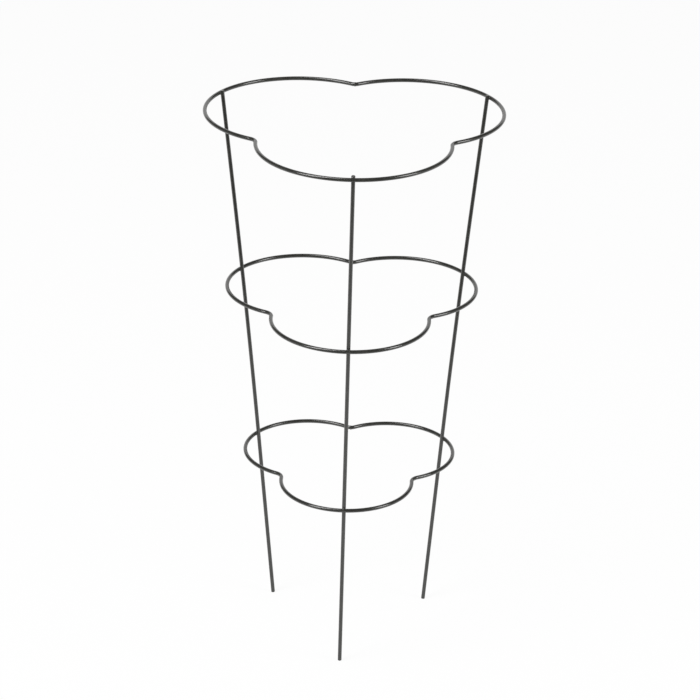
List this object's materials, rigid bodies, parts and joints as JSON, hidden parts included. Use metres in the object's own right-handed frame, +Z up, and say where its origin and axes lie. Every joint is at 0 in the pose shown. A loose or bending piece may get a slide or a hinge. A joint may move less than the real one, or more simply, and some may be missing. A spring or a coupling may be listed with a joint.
{
  "type": "plant support cone",
  "caption": "Welded wire plant support: splayed stakes carry cloverleaf rings that widen towards the top and hold a plant's stems.",
  "frame": {"origin": "on the ground, in the middle of the support's bounding box", "axes": "+Z up, from the feet to the widest ring; -Y towards the front stake; +X to the right of it"},
  "size_m": [0.411, 0.3914, 0.762],
  "materials": {
    "wire_coat": "satin black powder coat on steel wire",
    "weld_coat": "black powder coat, pooled over the weld"
  },
  "bodies": {
    "root": {"front_stake": "wire_coat", "right_stake": "wire_coat", "left_stake": "wire_coat", "upper_ring": "wire_coat", "middle_ring": "wire_coat", "lower_ring": "wire_coat", "upper_front_weld": "weld_coat", "upper_right_weld": "weld_coat", "upper_left_weld": "weld_coat", "middle_front_weld": "weld_coat", "middle_right_weld": "weld_coat", "middle_left_weld": "weld_coat", "lower_front_weld": "weld_coat", "lower_right_weld": "weld_coat", "lower_left_weld": "weld_coat", "upper_ring_seam": "weld_coat", "middle_ring_seam": "weld_coat", "lower_ring_seam": "weld_coat"}
  },
  "joints": []
}
